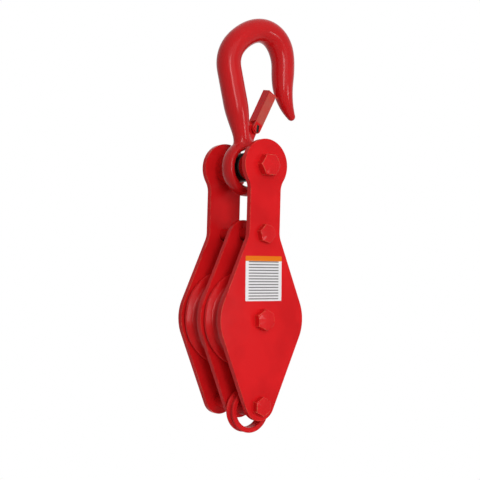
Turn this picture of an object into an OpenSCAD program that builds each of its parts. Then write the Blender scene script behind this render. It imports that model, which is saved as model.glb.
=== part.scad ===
// Double sheave block with a loose latched hook above and a rope becket below.
// Origin: above the centre of the hook's bowl, level with the saddle where the block hangs. +Z is up.
// X runs across the plates, towards the hook's tip. Y runs along the bolts, front to rear.

/* [Frame plates] */
// Thickness of the cheek plates and the centre plate
plate_t = 6; // [5:0.5:8]
// Clear width between two plates, where a sheave runs
bay = 29.2; // [27:0.2:34]
// Width of a plate across the sheave axle
plate_w = 105.2; // [104:0.2:112]
// Radius of a plate's wide corners beside the axle
side_r = 45; // [38:1:48]
// Radius of a plate's narrow ends
end_r = 18.2; // [17:0.1:19]
// Distance from an end bolt to the centre of a plate's narrow end, towards the axle
end_inset = 3.2; // [2:0.2:4]
// Distance from the sheave axle to the tie bolt and to the becket bolt
axle_pitch = 88; // [86:0.5:94]
// Distance from the tie bolt to the hook bolt
neck_pitch = 70.5; // [66:0.5:78]
// Width of a cheek plate's neck
neck_w = 39; // [36:1:44]
// Radius of a cheek plate's round head
lobe_r = 27.2; // [25:0.2:31]
// Radius of the hollow between the round head and the neck
lobe_fillet_r = 20; // [14:1:26]

/* [Hook] */
// Radius inside the hook's bowl
bowl_r = 23.6; // [22:0.2:26]
// Lean of the bowl's crown towards the tip
crown_skew = 4.2; // [3:0.2:5]
// Drop from the saddle to the hook bolt's axis
hook_drop = 135; // [130:1:145]
// Sideways distance from the plates' centre line to the bowl's centre
bowl_offset = 12; // [8:0.5:14]
// Lean of the hook's shank from upright, in degrees
shank_lean = 15; // [13:0.5:17]
// Thickness of the hook at the shank
shank_d = 26; // [24:0.5:27]
// Thickness of the hook at the top of the bowl
crown_d = 25.4; // [24:0.2:26]
// Thickness of the hook at its shoulder above the free leg
shoulder_d = 27; // [25:0.2:28]
// Thickness of the hook where its free leg begins
leg_d = 25; // [23:0.5:26]
// Straight length of the free leg below the bowl's centre
leg_straight = 12; // [10:1:15]
// Radius of the outward curve at the end of the leg
flare_r = 62; // [56:1:72]
// Angle of the outward curve at the end of the leg
flare_angle = 38; // [33:1:41]
// Thickness of the hook at the tip
tip_d = 9.2; // [8:0.2:11]
// Radius of the hole in the hook's eye
eye_hole_r = 18.9; // [18.2:0.1:19.6]
// Thickness of the eye's ring, seen from the front
eye_wall = 10.8; // [9.6:0.2:12]
// Width of the eye's ring along the bolt
eye_w = 17.8; // [14:0.2:20]

/* [Latch] */
// Sideways place of the latch pin, from the plates' centre line
latch_pin_x = 9.8; // [9.4:0.1:10.4]
// Height of the latch pin above the hook bolt's axis
latch_pin_z = 41.2; // [40.4:0.1:42]
// Angle of the shut latch above level
latch_angle = 63.2; // [62.8:0.1:63.7]
// Length of the latch from its pin
latch_len = 48; // [47:0.2:48.6]
// Width of the latch along its pin
latch_w = 14; // [13.6:0.2:16]
// Thickness of the latch's sheet
latch_t = 1.5; // [1.2:0.1:1.6]
// Diameter of the latch pin
latch_pin_d = 5; // [4:0.2:5.4]
// Thickness of the hook's lug that carries the latch pin
lug_t = 4.4; // [4:0.1:4.6]
// Diameter of the spring's wire
spring_wire = 0.9; // [0.7:0.1:1]
// Rise of the spring for one turn
spring_pitch = 1.4; // [1.35:0.05:1.5]

/* [Sheaves] */
// Diameter over a sheave's rims
sheave_d = 100; // [92:1:102]
// Depth of a sheave's rope groove
groove_depth = 10; // [8:0.5:11]
// Radius at the bottom of a sheave's rope groove
groove_r = 7.5; // [5.5:0.5:8]
// Width of a sheave over its hub
hub_w = 26.6; // [24:0.2:26.8]
// Outer diameter of the sleeve that the sheaves turn on
axle_sleeve_d = 19; // [17:0.5:20]
// Outer diameter of a sheave's bush
sheave_bush_d = 26; // [24:0.5:28]
// Thickness of the thrust washers beside a sheave
thrust_t = 1; // [0.6:0.1:1.1]

/* [Becket] */
// Radius of the hole in the becket's ring
becket_hole_r = 17.6; // [16.5:0.1:18]
// Radius over the becket's ring
becket_r = 23; // [21:0.5:25]
// Width of the becket along its bolt
becket_w = 12.4; // [11:0.2:14]
// Distance from the centre plate to the becket
becket_gap = 7.2; // [6:0.2:10]
// Radius of the becket's rope groove
becket_groove_r = 4.6; // [4:0.2:5]
// Outer diameter of the spool that the becket hangs on
spool_d = 23; // [21:0.5:24]

/* [Fasteners] */
// Diameter of the hook bolt
hook_bolt_d = 14; // [12:1:14]
// Diameter of the sheave axle bolt
axle_bolt_d = 12; // [10:1:12]
// Diameter of the tie bolt and the becket bolt
tie_bolt_d = 10; // [8:1:10]
// Width over the flats of the hook bolt's head and nut
hook_hex_w = 21; // [20:0.5:22]
// Width over the flats of the axle bolt's head and nut
axle_hex_w = 19.5; // [18:0.5:20]
// Width over the flats of the tie and becket bolts' heads and nuts
tie_hex_w = 17.5; // [16:0.5:18]
// Outer diameter of the tie bolt's spacers
spacer_d = 14; // [13:0.1:15]
// Outer diameter of the collars beside the hook's eye
collar_d = 29; // [26:0.5:32]
// Outer diameter of the bush inside the hook's eye
eye_bush_d = 30.4; // [29.6:0.2:32]

/* [Hidden] */
$fn = 64;

// Clearances
bolt_clear = 0.1;
running_clear = 0.05;
side_clear = 0.4;
hang_clear = 0.3;

// Paint and metal
red = [0.80, 0.10, 0.11];
bare_steel = [0.22, 0.22, 0.23];
zinc = [0.62, 0.62, 0.63];
bronze = [0.66, 0.47, 0.24];

// Places of the bolts and bays
block_x = -bowl_offset;
hook_bolt_z = -hook_drop;
tie_z = hook_bolt_z - neck_pitch;
axle_z = tie_z - axle_pitch;
becket_z = axle_z - axle_pitch;
bay_mid = (plate_t + bay) / 2;
cheek_in = plate_t / 2 + bay;
cheek_out = cheek_in + plate_t;

// Plate outline: straight sides tucked slightly inside the round corners that they join
tuck = 0.02;
side_x = plate_w / 2 - side_r;
flare_drop = 8;
fillet_x = neck_w / 2 - tuck + lobe_fillet_r;
fillet_dz = sqrt(pow(lobe_r - tuck + lobe_fillet_r, 2) - pow(fillet_x, 2));

// Direction, from +X, in which the straight side between a round end and a wide corner faces
end_z = axle_pitch - end_inset;
end_to_side = [side_x, -end_z];
side_facing = atan2(end_to_side[1], end_to_side[0]) + acos((end_r - side_r) / norm(end_to_side));

// Bolt head, nut and washer sizes, as multiples of the bolt's diameter
head_rise = 0.63;
nut_rise = 1;
washer_across = 1.75;
washer_t = 2.5;
thread_show = 3;
hex_chamfer_angle = 30;
hex_face = 0.96;

// Turn of each hexagon about its bolt
hook_hex_turn = 0;
tie_hex_turn = 14;
axle_hex_turn = 24;
becket_hex_turn = 28;

// Hook centre line: shank, bowl, free leg and flared tip
bowl_line_r = bowl_r + crown_d / 2;
crown_place = 0.5;
shoulder_place = 0.78;
skew_bias = 1.1;
bowl_steps = 26;
bowl_z = -max([for (i = [0 : bowl_steps]) bowl_inside(i / bowl_steps) * sin(bowl_angle(i / bowl_steps))]);
eye_rest = eye_hole_r - eye_bush_d / 2 - hang_clear;
eye_rest_angle = -14;
eye_x = block_x + eye_rest * cos(eye_rest_angle);
eye_z = hook_bolt_z + eye_rest * sin(eye_rest_angle);
eye_line_r = eye_hole_r + eye_wall / 2;
shank_top = [-bowl_line_r * cos(shank_lean), bowl_z - bowl_line_r * sin(shank_lean)];
shank_foot_z = eye_z + eye_line_r;
shank_foot = [
  shank_top[0] + (shank_top[1] - shank_foot_z) * tan(shank_lean),
  shank_foot_z
];
leg_top = [bowl_line_r, bowl_z];
leg_foot = leg_top - [0, leg_straight];
neck_d = 16.2;
neck_y_d = eye_w - 1;
neck_flare = 4;
neck_flare_run = 0.18;
shank_swell = 0.55;
leg_taper = 1.8;
hook_sides = 24;
shank_steps = 10;
leg_steps = 3;
flare_steps = 10;
tip_steps = 4;
tip_flat = 0.05;

// Eases from 0 to 1 with level ends
function ease(t) = t * t * (3 - 2 * t);
function mix(a, b, t) = a + (b - a) * t;

// Each station of the hook: x, z, half-thickness across the hook, half-thickness along Y
function shank_station(t) = [
  mix(shank_foot[0], shank_top[0], t),
  mix(shank_foot[1], shank_top[1], t),
  mix(neck_d, shank_d, ease(min(1, t / shank_swell))) / 2
    + neck_flare * pow(max(0, 1 - t / neck_flare_run), 2),
  mix(neck_y_d, shank_d, ease(min(1, t / shank_swell))) / 2
];
function bowl_angle(t) = mix(180 + shank_lean, 0, t);
function bowl_reach(t) =
  let (skew = pow(t, skew_bias))
  bowl_line_r - crown_skew * sin(360 * skew) * sin(180 * skew);
function bowl_half(t) =
  (t < crown_place
    ? mix(shank_d, crown_d, ease(t / crown_place))
    : t < shoulder_place
      ? mix(crown_d, shoulder_d, ease((t - crown_place) / (shoulder_place - crown_place)))
      : mix(shoulder_d, leg_d, ease((t - shoulder_place) / (1 - shoulder_place)))) / 2;
function bowl_inside(t) = bowl_reach(t) - bowl_half(t);
function bowl_station(t) = [
  bowl_reach(t) * cos(bowl_angle(t)),
  bowl_z + bowl_reach(t) * sin(bowl_angle(t)),
  bowl_half(t),
  bowl_half(t)
];
leg_run = leg_straight + flare_r * flare_angle * PI / 180;
function leg_half(run) = mix(leg_d, tip_d, pow(run / leg_run, leg_taper)) / 2;
function leg_station(t) =
  let (half = leg_half(t * leg_straight))
  [leg_top[0], mix(leg_top[1], leg_foot[1], t), half, half];
function flare_station(t) =
  let (
    angle = t * flare_angle,
    half = leg_half(leg_straight + flare_r * angle * PI / 180)
  )
  [leg_foot[0] + flare_r * (1 - cos(angle)), leg_foot[1] - flare_r * sin(angle), half, half];
function tip_station(t) =
  let (
    end = flare_station(1),
    reach = sin(90 * t) * tip_d / 2,
    half = max(tip_flat, cos(90 * t)) * tip_d / 2
  )
  [end[0] + reach * sin(flare_angle), end[1] - reach * cos(flare_angle), half, half];
hook_stations = concat(
  [for (i = [0 : shank_steps - 1]) shank_station(i / shank_steps)],
  [for (i = [0 : bowl_steps - 1]) bowl_station(i / bowl_steps)],
  [for (i = [0 : leg_steps - 1]) leg_station(i / leg_steps)],
  [for (i = [0 : flare_steps]) flare_station(i / flare_steps)],
  [for (i = [1 : tip_steps]) tip_station(i / tip_steps)]
);

// Latch pin and the straight line of the shut latch
pin_x = block_x + latch_pin_x;
pin_z = hook_bolt_z + latch_pin_z;
latch_face = 4.8;
latch_ear_r = 5.2;
latch_edge_foot = -5;
latch_edge_tip = -5.6;
latch_edge_run = 41;
latch_nose_drop = 9.5;
latch_nose_w = 8;
web_foot = 8;
latch_tip_rise = 2;
lug_shift = 0.2;
lug_front = -lug_t / 2 - lug_shift;
lug_r = 5;
lug_reach = 13;
rib_foot = 1.5;
rib_angle = 20;
pin_head_d = 1.7 * latch_pin_d;
pin_head_t = 1.4;

// Torsion spring: a leg on the shank, its turns round the pin, a leg hooked into the latch
spring_pin_gap = 0.65;
spring_lug_gap = 0.25;
spring_r = latch_pin_d / 2 + spring_pin_gap + spring_wire / 2;
spring_y = lug_front + lug_t + spring_lug_gap + spring_wire / 2;
shank_leg_end = [-7.6, 12.4];
latch_leg_len = 14;
spring_hook_out = 1.4;
spring_hole_gap = 0.45;
spring_hole_d = spring_wire + 2 * spring_hole_gap;
leg_bearing = atan2(shank_leg_end[1], shank_leg_end[0]);
turn_start = leg_bearing + acos(spring_r / norm(shank_leg_end));
turn_end = latch_angle - 90 + 720;
spring_turns = (turn_end - turn_start) / 360;
spring_sides = 6;
spring_arc_steps = 14;
spring_bend_r = 1.6;
spring_end_y = spring_y + spring_pitch * spring_turns;

// Place on the latch's own line: u towards its tip, v towards the bowl
function on_latch(u, v) = [
  u * cos(latch_angle) - v * sin(latch_angle),
  u * sin(latch_angle) + v * cos(latch_angle)
];
latch_leg_v = -spring_r;
function spring_turn(t) =
  let (angle = mix(turn_start, turn_end, t))
  [spring_r * cos(angle), mix(spring_y, spring_end_y, t), spring_r * sin(angle)];
function spring_bend(t) =
  let (p = on_latch(latch_leg_len + spring_bend_r * sin(90 * t), latch_leg_v))
  [p[0], spring_end_y + spring_bend_r * (1 - cos(90 * t)), p[1]];
function spring_hook(y) =
  let (p = on_latch(latch_leg_len + spring_bend_r, latch_leg_v))
  [p[0], y, p[1]];
spring_turn_steps = ceil(spring_turns * spring_arc_steps);
spring_shank_leg = [
  [shank_leg_end[0], spring_y, shank_leg_end[1]],
  mix([shank_leg_end[0], spring_y, shank_leg_end[1]], spring_turn(0), 0.5)
];
spring_turn_points = [for (i = [0 : spring_turn_steps]) spring_turn(i / spring_turn_steps)];
spring_bend_points = [for (i = [0 : 3]) spring_bend(i / 3)];
spring_tail = [spring_hook(latch_w / 2 + spring_hook_out)];
spring_line = concat(spring_shank_leg, spring_turn_points, spring_bend_points, spring_tail);

// Least gap of the spring to itself, measured between points a third of a turn or more apart
spring_apart = round(spring_arc_steps / 3);
spring_gap = min([
  for (i = [0 : len(spring_turn_points) - 1])
    for (j = [i + spring_apart : 1 : len(spring_turn_points) - 1])
      norm(spring_turn_points[i] - spring_turn_points[j]) - spring_wire
]);
echo(spring_gap = spring_gap);

// Sheave section
rim_step = 0.7;
rim_w = hub_w - 2 * rim_step;
groove_flank = 65;
groove_centre_r = sheave_d / 2 - groove_depth + groove_r;
web_recess = 3.5;
hub_wall = 6;
rim_floor = 5;
web_in_r = sheave_bush_d / 2 + hub_wall;
web_out_r = sheave_d / 2 - groove_depth - rim_floor;
thrust_d = sheave_bush_d + hub_wall;

// Becket
becket_drop = becket_hole_r - spool_d / 2 - hang_clear;
becket_y = -(plate_t / 2 + becket_gap + becket_w / 2);
becket_edge_r = 1.2;
becket_groove_depth = 2.6;

// Tube of round or oval section along a line of stations in the plane of the hook
module swept_hook() {
  count = len(hook_stations);
  function along(i) =
    let (
      a = hook_stations[max(0, i - 1)],
      b = hook_stations[min(count - 1, i + 1)],
      d = [b[0] - a[0], b[1] - a[1]]
    )
    d / norm(d);
  points = [
    for (i = [0 : count - 1])
      let (s = hook_stations[i], d = along(i))
        for (k = [0 : hook_sides - 1])
          let (
            angle = 360 * k / hook_sides,
            across = s[2] * cos(angle)
          )
          [s[0] + across * d[1], s[3] * sin(angle), s[1] - across * d[0]]
  ];
  walls = [
    for (i = [0 : count - 2])
      for (k = [0 : hook_sides - 1])
        let (
          n = (k + 1) % hook_sides,
          a = i * hook_sides
        )
        [a + k, a + hook_sides + k, a + hook_sides + n, a + n]
  ];
  foot = [for (k = [0 : hook_sides - 1]) k];
  tip = [for (k = [hook_sides - 1 : -1 : 0]) (count - 1) * hook_sides + k];
  polyhedron(points, concat(walls, [foot, tip]), convexity = 6);
}

// Round wire of a few sides along a line of points
module wire(line, d, sides) {
  count = len(line);
  function along(i) =
    let (v = line[min(count - 1, i + 1)] - line[max(0, i - 1)])
    v / norm(v);
  function aside(i, last) =
    let (v = last - along(i) * (last * along(i)))
    v / norm(v);
  frames = [
    for (i = 0, a = aside(0, [0.3, 1, 0.2]); i < count; i = i + 1, a = aside(min(i, count - 1), a)) a
  ];
  points = [
    for (i = [0 : count - 1])
      let (b = cross(along(i), frames[i]))
        for (k = [0 : sides - 1])
          line[i] + (frames[i] * cos(360 * k / sides) + b * sin(360 * k / sides)) * d / 2
  ];
  walls = [
    for (i = [0 : count - 2])
      for (k = [0 : sides - 1])
        let (
          n = (k + 1) % sides,
          a = i * sides
        )
        [a + k, a + sides + k, a + sides + n, a + n]
  ];
  first = [for (k = [0 : sides - 1]) k];
  last = [for (k = [sides - 1 : -1 : 0]) (count - 1) * sides + k];
  polyhedron(points, concat(walls, [first, last]), convexity = 6);
}

// Moves a piece drawn along +Z so that it runs along Y from y0, about a bolt's axis
module along_y(x, y0, z) {
  translate([x, y0, z])
    rotate([-90, 0, 0])
      children();
}

// Stands a plate drawn flat in x and z, and thick along +Z, upright from y0 towards +Y
module plate_at(y0, thick) {
  translate([0, y0 + thick, 0])
    rotate([90, 0, 0])
      children();
}

module tube(outer_d, inner_d, length) {
  difference() {
    cylinder(d = outer_d, h = length);
    translate([0, 0, -1])
      cylinder(d = inner_d, h = length + 2);
  }
}

// Hexagon with both rims chamfered, standing on z = 0
module hexagon(across, rise, both) {
  corner_r = across / 2 / cos(30);
  flat_r = across / 2 * hex_face;
  drop = (corner_r - flat_r) * tan(hex_chamfer_angle);
  intersection() {
    cylinder(r = corner_r, h = rise, $fn = 6);
    rotate_extrude()
      polygon([
        [0, 0],
        [both ? flat_r : corner_r + 1, 0],
        [both ? corner_r + tuck : corner_r + 1, both ? drop : rise / 2],
        [corner_r + tuck, rise - drop],
        [flat_r, rise],
        [0, rise]
      ]);
  }
}

// Bolt along +Y from a head in front of the front plate to a chamfered thread end behind the nut
module bolt(d, across, turn) {
  shank = 2 * cheek_out + washer_t + nut_rise * d + thread_show;
  end_chamfer = 0.1 * d;
  mirror([0, 0, 1])
    rotate([0, 0, turn])
      hexagon(across, head_rise * d, false);
  cylinder(d = d, h = shank - end_chamfer);
  translate([0, 0, shank - end_chamfer])
    cylinder(d1 = d, d2 = d - 2 * end_chamfer, h = end_chamfer);
}

module nut(d, across, turn) {
  difference() {
    rotate([0, 0, turn])
      hexagon(across, nut_rise * d, true);
    translate([0, 0, -1])
      cylinder(d = d + 2 * bolt_clear, h = nut_rise * d + 2);
  }
}

// Split spring washer
module lock_washer(d) {
  split_w = 1.2;
  split_turn = 35;
  difference() {
    tube(washer_across * d, d + 2 * bolt_clear, washer_t);
    rotate([0, 0, split_turn])
      translate([d / 4, -split_w / 2, -1])
        cube([d, split_w, washer_t + 2]);
  }
}

// Hole through a plate, from below it to above it
module hole(x, z, d, thick) {
  translate([x, z, -1])
    cylinder(d = d, h = thick + 2);
}

// Diamond with round ends and wide round corners, about the axle
module diamond(thick) {
  n = [cos(side_facing), sin(side_facing)];
  end_point = [0, end_z] + (end_r - tuck) * n;
  side_point = [side_x, 0] + (side_r - tuck) * n;
  translate([block_x, axle_z]) {
    linear_extrude(thick)
      polygon([
        end_point,
        [-end_point[0], end_point[1]],
        [-side_point[0], side_point[1]],
        [-side_point[0], -side_point[1]],
        [-end_point[0], -end_point[1]],
        [end_point[0], -end_point[1]],
        [side_point[0], -side_point[1]],
        side_point
      ]);
    for (s = [-1, 1]) {
      translate([0, s * end_z])
        cylinder(r = end_r, h = thick);
      translate([s * side_x, 0])
        cylinder(r = side_r, h = thick);
    }
  }
}

// Round head and neck of a cheek plate, with a hollow on each side between them
module neck_and_head(thick) {
  translate([block_x, hook_bolt_z]) {
    cylinder(r = lobe_r, h = thick);
    translate([-neck_w / 2, -neck_pitch - flare_drop])
      cube([neck_w, neck_pitch + flare_drop, thick]);
    for (s = [-1, 1])
      difference() {
        linear_extrude(thick)
          polygon([[0, 0], [s * fillet_x, -fillet_dz], [0, -fillet_dz]]);
        hole(s * fillet_x, -fillet_dz, 2 * lobe_fillet_r, thick);
      }
  }
}

module bolt_holes_below(thick) {
  hole(block_x, tie_z, tie_bolt_d + 2 * bolt_clear, thick);
  hole(block_x, axle_z, axle_bolt_d + 2 * bolt_clear, thick);
  hole(block_x, becket_z, tie_bolt_d + 2 * bolt_clear, thick);
}

module cheek_plate(y0) {
  color(red)
    plate_at(y0, plate_t)
      difference() {
        union() {
          diamond(plate_t);
          neck_and_head(plate_t);
        }
        bolt_holes_below(plate_t);
        hole(block_x, hook_bolt_z, hook_bolt_d + 2 * bolt_clear, plate_t);
      }
}

module centre_plate() {
  color(red)
    plate_at(-plate_t / 2, plate_t)
      difference() {
        diamond(plate_t);
        bolt_holes_below(plate_t);
      }
}

// Ring of the hook's eye, domed at its front and rear
module eye_ring() {
  along_y(eye_x, 0, eye_z)
    rotate_extrude()
      translate([eye_line_r, 0])
        intersection() {
          square([eye_wall, eye_w + 1], center = true);
          circle(d = eye_w);
        }
}

// Lug on the shank's inner side, with a rib down to the eye
module latch_lug() {
  plate_at(lug_front, lug_t)
    difference() {
      union() {
        translate([pin_x, pin_z])
          cylinder(r = lug_r, h = lug_t);
        linear_extrude(lug_t)
          polygon([
            [pin_x, pin_z + lug_r - tuck],
            [pin_x - lug_reach, pin_z + lug_r - tuck],
            [shank_foot[0], shank_foot[1]],
            [pin_x - rib_foot, shank_foot[1]],
            [pin_x + lug_r * cos(rib_angle), pin_z - lug_r * sin(rib_angle)]
          ]);
      }
      hole(pin_x, pin_z, latch_pin_d + 2 * running_clear, lug_t);
    }
}

module hook() {
  color(red)
    union() {
      swept_hook();
      eye_ring();
      latch_lug();
    }
}

// Folded sheet latch: a web towards the bowl, two ears on the pin, a nose against the leg
module latch() {
  color(red)
    translate([pin_x, 0, pin_z])
      rotate([0, -latch_angle, 0]) {
        difference() {
          for (y = [-latch_w / 2, latch_w / 2 - latch_t])
            plate_at(y, latch_t) {
              cylinder(r = latch_ear_r, h = latch_t);
              linear_extrude(latch_t)
                polygon([
                  [0, latch_edge_foot],
                  [latch_edge_run, latch_edge_tip],
                  [latch_len, latch_edge_foot + latch_tip_rise],
                  [latch_len, latch_face],
                  [0, latch_face]
                ]);
            }
          along_y(0, -latch_w, 0)
            cylinder(d = latch_pin_d + 2 * running_clear, h = 2 * latch_w);
          along_y(latch_leg_len + spring_bend_r, 0, latch_leg_v)
            cylinder(d = spring_hole_d, h = latch_w);
        }
        translate([web_foot, -latch_w / 2, latch_face - latch_t])
          cube([latch_len - web_foot, latch_w, latch_t]);
        translate([latch_len - latch_t, -latch_nose_w / 2, -latch_nose_drop])
          cube([latch_t, latch_nose_w, latch_nose_drop + latch_face]);
      }
}

// Headed pin through both ears and the lug
module latch_pin() {
  color(red)
    along_y(pin_x, -latch_w / 2 - side_clear / 2 - pin_head_t, pin_z) {
      cylinder(d = pin_head_d, h = pin_head_t);
      cylinder(d = latch_pin_d, h = latch_w + side_clear + 2 * pin_head_t);
      translate([0, 0, latch_w + side_clear + pin_head_t])
        cylinder(d = pin_head_d, h = pin_head_t);
    }
}

module latch_spring() {
  color(red)
    translate([pin_x, 0, pin_z])
      wire(spring_line, spring_wire, spring_sides);
}

module hook_bolt() {
  color(red)
    along_y(block_x, -cheek_out, hook_bolt_z)
      bolt(hook_bolt_d, hook_hex_w, hook_hex_turn);
}

module tie_bolt() {
  color(red)
    along_y(block_x, -cheek_out, tie_z)
      bolt(tie_bolt_d, tie_hex_w, tie_hex_turn);
}

module axle_bolt() {
  color(red)
    along_y(block_x, -cheek_out, axle_z)
      bolt(axle_bolt_d, axle_hex_w, axle_hex_turn);
}

module becket_bolt() {
  color(red)
    along_y(block_x, -cheek_out, becket_z)
      bolt(tie_bolt_d, tie_hex_w, becket_hex_turn);
}

module rear_nut(z, d, across, turn) {
  color(red)
    along_y(block_x, cheek_out + washer_t, z)
      nut(d, across, turn);
}

module rear_lock_washer(z, d) {
  color(red)
    along_y(block_x, cheek_out, z)
      lock_washer(d);
}

// Plain bush that the eye bears on, between the two collars
module hook_bush() {
  half = eye_w / 2 + side_clear;
  color(bare_steel)
    along_y(block_x, -half, hook_bolt_z)
      tube(eye_bush_d, hook_bolt_d + 2 * bolt_clear, 2 * half);
}

// Collar that holds the eye midway between the cheek plates
module hook_collar(y0) {
  color(red)
    along_y(block_x, y0, hook_bolt_z)
      tube(collar_d, hook_bolt_d + 2 * bolt_clear, cheek_in - eye_w / 2 - side_clear);
}

// Spacer tube that fills one bay on a bolt
module bay_tube(s, z, outer_d, bolt_d, shade) {
  color(shade)
    along_y(block_x, s * bay_mid - bay / 2, z)
      tube(outer_d, bolt_d + 2 * bolt_clear, bay);
}

// Grooved sheave with a recessed web on each side
module sheave(s) {
  flank_r = groove_centre_r - groove_r * cos(groove_flank);
  flank_y = groove_r * sin(groove_flank);
  rise = sheave_d / 2 + 1 - flank_r;
  lip_y = flank_y + rise / tan(groove_flank);
  color(red)
    along_y(block_x, s * bay_mid, axle_z)
      rotate_extrude()
        difference() {
          union() {
            translate([web_in_r, -rim_w / 2])
              square([sheave_d / 2 - web_in_r, rim_w]);
            translate([sheave_bush_d / 2 + bolt_clear, -hub_w / 2])
              square([web_in_r - sheave_bush_d / 2 - bolt_clear, hub_w]);
          }
          translate([groove_centre_r, 0])
            circle(r = groove_r);
          polygon([
            [flank_r, -flank_y],
            [sheave_d / 2 + 1, -lip_y],
            [sheave_d / 2 + 1, lip_y],
            [flank_r, flank_y]
          ]);
          for (m = [-1, 1])
            translate([web_in_r, m * (rim_w / 2 - web_recess / 2) - web_recess / 2])
              square([web_out_r - web_in_r, web_recess]);
        }
}

module sheave_bush(s) {
  color(bronze)
    along_y(block_x, s * bay_mid - hub_w / 2, axle_z)
      tube(sheave_bush_d, axle_sleeve_d + 2 * running_clear, hub_w);
}

// Thin washer on each side of a sheave
module thrust_washers(s) {
  color(bronze)
    for (y0 = [s * bay_mid - bay / 2, s * bay_mid + bay / 2 - thrust_t])
      along_y(block_x, y0, axle_z)
        tube(thrust_d, axle_sleeve_d + 2 * bolt_clear, thrust_t);
}

// Ring with a rope groove round its outside, hanging on its spool
module becket() {
  groove_centre = becket_r - becket_groove_depth + becket_groove_r;
  wall = becket_r - becket_hole_r;
  color(red)
    along_y(block_x, becket_y, becket_z - becket_drop)
      rotate_extrude()
        difference() {
          union() {
            translate([becket_hole_r, -becket_w / 2 + becket_edge_r])
              square([wall, becket_w - 2 * becket_edge_r]);
            translate([becket_hole_r + becket_edge_r, -becket_w / 2])
              square([wall - 2 * becket_edge_r, becket_w]);
            for (r = [becket_hole_r + becket_edge_r, becket_r - becket_edge_r])
              for (m = [-1, 1])
                translate([r, m * (becket_w / 2 - becket_edge_r)])
                  circle(r = becket_edge_r - tuck);
          }
          translate([groove_centre, 0])
            circle(r = becket_groove_r);
        }
}

hook();
latch();
latch_pin();
latch_spring();
cheek_plate(-cheek_out);  // cheek_plate_front
cheek_plate(cheek_in);  // cheek_plate_rear
centre_plate();
hook_bolt();
rear_nut(hook_bolt_z, hook_bolt_d, hook_hex_w, hook_hex_turn);  // hook_nut
rear_lock_washer(hook_bolt_z, hook_bolt_d);  // hook_lock_washer
hook_bush();
hook_collar(-cheek_in);  // hook_collar_front
hook_collar(eye_w / 2 + side_clear);  // hook_collar_rear
tie_bolt();
rear_nut(tie_z, tie_bolt_d, tie_hex_w, tie_hex_turn);  // tie_nut
rear_lock_washer(tie_z, tie_bolt_d);  // tie_lock_washer
bay_tube(-1, tie_z, spacer_d, tie_bolt_d, red);  // tie_spacer_front
bay_tube(1, tie_z, spacer_d, tie_bolt_d, red);  // tie_spacer_rear
axle_bolt();
rear_nut(axle_z, axle_bolt_d, axle_hex_w, axle_hex_turn);  // axle_nut
rear_lock_washer(axle_z, axle_bolt_d);  // axle_lock_washer
bay_tube(-1, axle_z, axle_sleeve_d, axle_bolt_d, zinc);  // axle_sleeve_front
bay_tube(1, axle_z, axle_sleeve_d, axle_bolt_d, zinc);  // axle_sleeve_rear
sheave(-1);  // sheave_front
sheave(1);  // sheave_rear
sheave_bush(-1);  // sheave_bush_front
sheave_bush(1);  // sheave_bush_rear
thrust_washers(-1);  // thrust_washers_front
thrust_washers(1);  // thrust_washers_rear
becket_bolt();
rear_nut(becket_z, tie_bolt_d, tie_hex_w, becket_hex_turn);  // becket_nut
rear_lock_washer(becket_z, tie_bolt_d);  // becket_lock_washer
bay_tube(1, becket_z, spacer_d, tie_bolt_d, red);  // becket_spacer
bay_tube(-1, becket_z, spool_d, tie_bolt_d, red);  // becket_spool
becket();
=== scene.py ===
import math

import bpy
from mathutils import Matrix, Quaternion, Vector


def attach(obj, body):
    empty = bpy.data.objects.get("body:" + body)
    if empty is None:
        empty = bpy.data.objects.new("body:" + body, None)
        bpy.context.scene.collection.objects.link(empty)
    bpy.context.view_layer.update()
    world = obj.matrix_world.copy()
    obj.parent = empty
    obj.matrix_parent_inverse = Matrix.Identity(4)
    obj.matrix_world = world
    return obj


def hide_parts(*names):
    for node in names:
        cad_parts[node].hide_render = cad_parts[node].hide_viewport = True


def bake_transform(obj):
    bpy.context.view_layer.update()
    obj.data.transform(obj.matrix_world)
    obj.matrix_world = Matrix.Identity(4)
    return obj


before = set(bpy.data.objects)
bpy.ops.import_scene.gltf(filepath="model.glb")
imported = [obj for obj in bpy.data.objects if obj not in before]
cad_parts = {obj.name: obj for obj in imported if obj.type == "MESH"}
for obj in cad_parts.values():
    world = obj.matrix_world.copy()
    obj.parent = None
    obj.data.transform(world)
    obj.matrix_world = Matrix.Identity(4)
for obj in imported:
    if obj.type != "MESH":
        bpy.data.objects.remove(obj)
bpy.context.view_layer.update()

# Cheek plates and centre plate: flame-cut rolled steel plate, edges eased, sprayed with red enamel.
# The cheeks have a neck and a round head for the hook bolt; the centre plate stops at the tie bolt.
mm = 0.001
block_x = -12.0
hook_bolt_z = -135.0
tie_z = -205.5
axle_z = -293.5
becket_z = -381.5
plate_t = 6.0
bay = 29.2
cheek_in = plate_t / 2 + bay
cheek_out = cheek_in + plate_t
plate_half_w = 52.6
side_r = 45.0
end_r = 18.2
end_inset = 3.2
neck_half_w = 19.5
head_r = 27.2
head_hollow_r = 20.0
shoulder_r = 22.0
plate_edge_r = 0.6
bolt_hole = {hook_bolt_z: 14.2, tie_z: 10.2, axle_z: 12.2, becket_z: 10.2}
arc_step = 3.0
weld_gap = 0.002
drill_sides = 64
sharp_angle = 32.0
smooth_angle = 40.0
enamel_red = "#D61B1F"
enamel_shade = "#C9171B"
# Pale edge colour: thin paint, and a painted highlight on the edges.
thin_paint_and_highlight_red = "#E07F60"


def linear(code, alpha=1.0):
    """The linear colour of an sRGB hex code."""
    parts = [int(code[i : i + 2], 16) / 255 for i in (1, 3, 5)]
    return [c / 12.92 if c <= 0.04045 else ((c + 0.055) / 1.055) ** 2.4 for c in parts] + [alpha]


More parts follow.
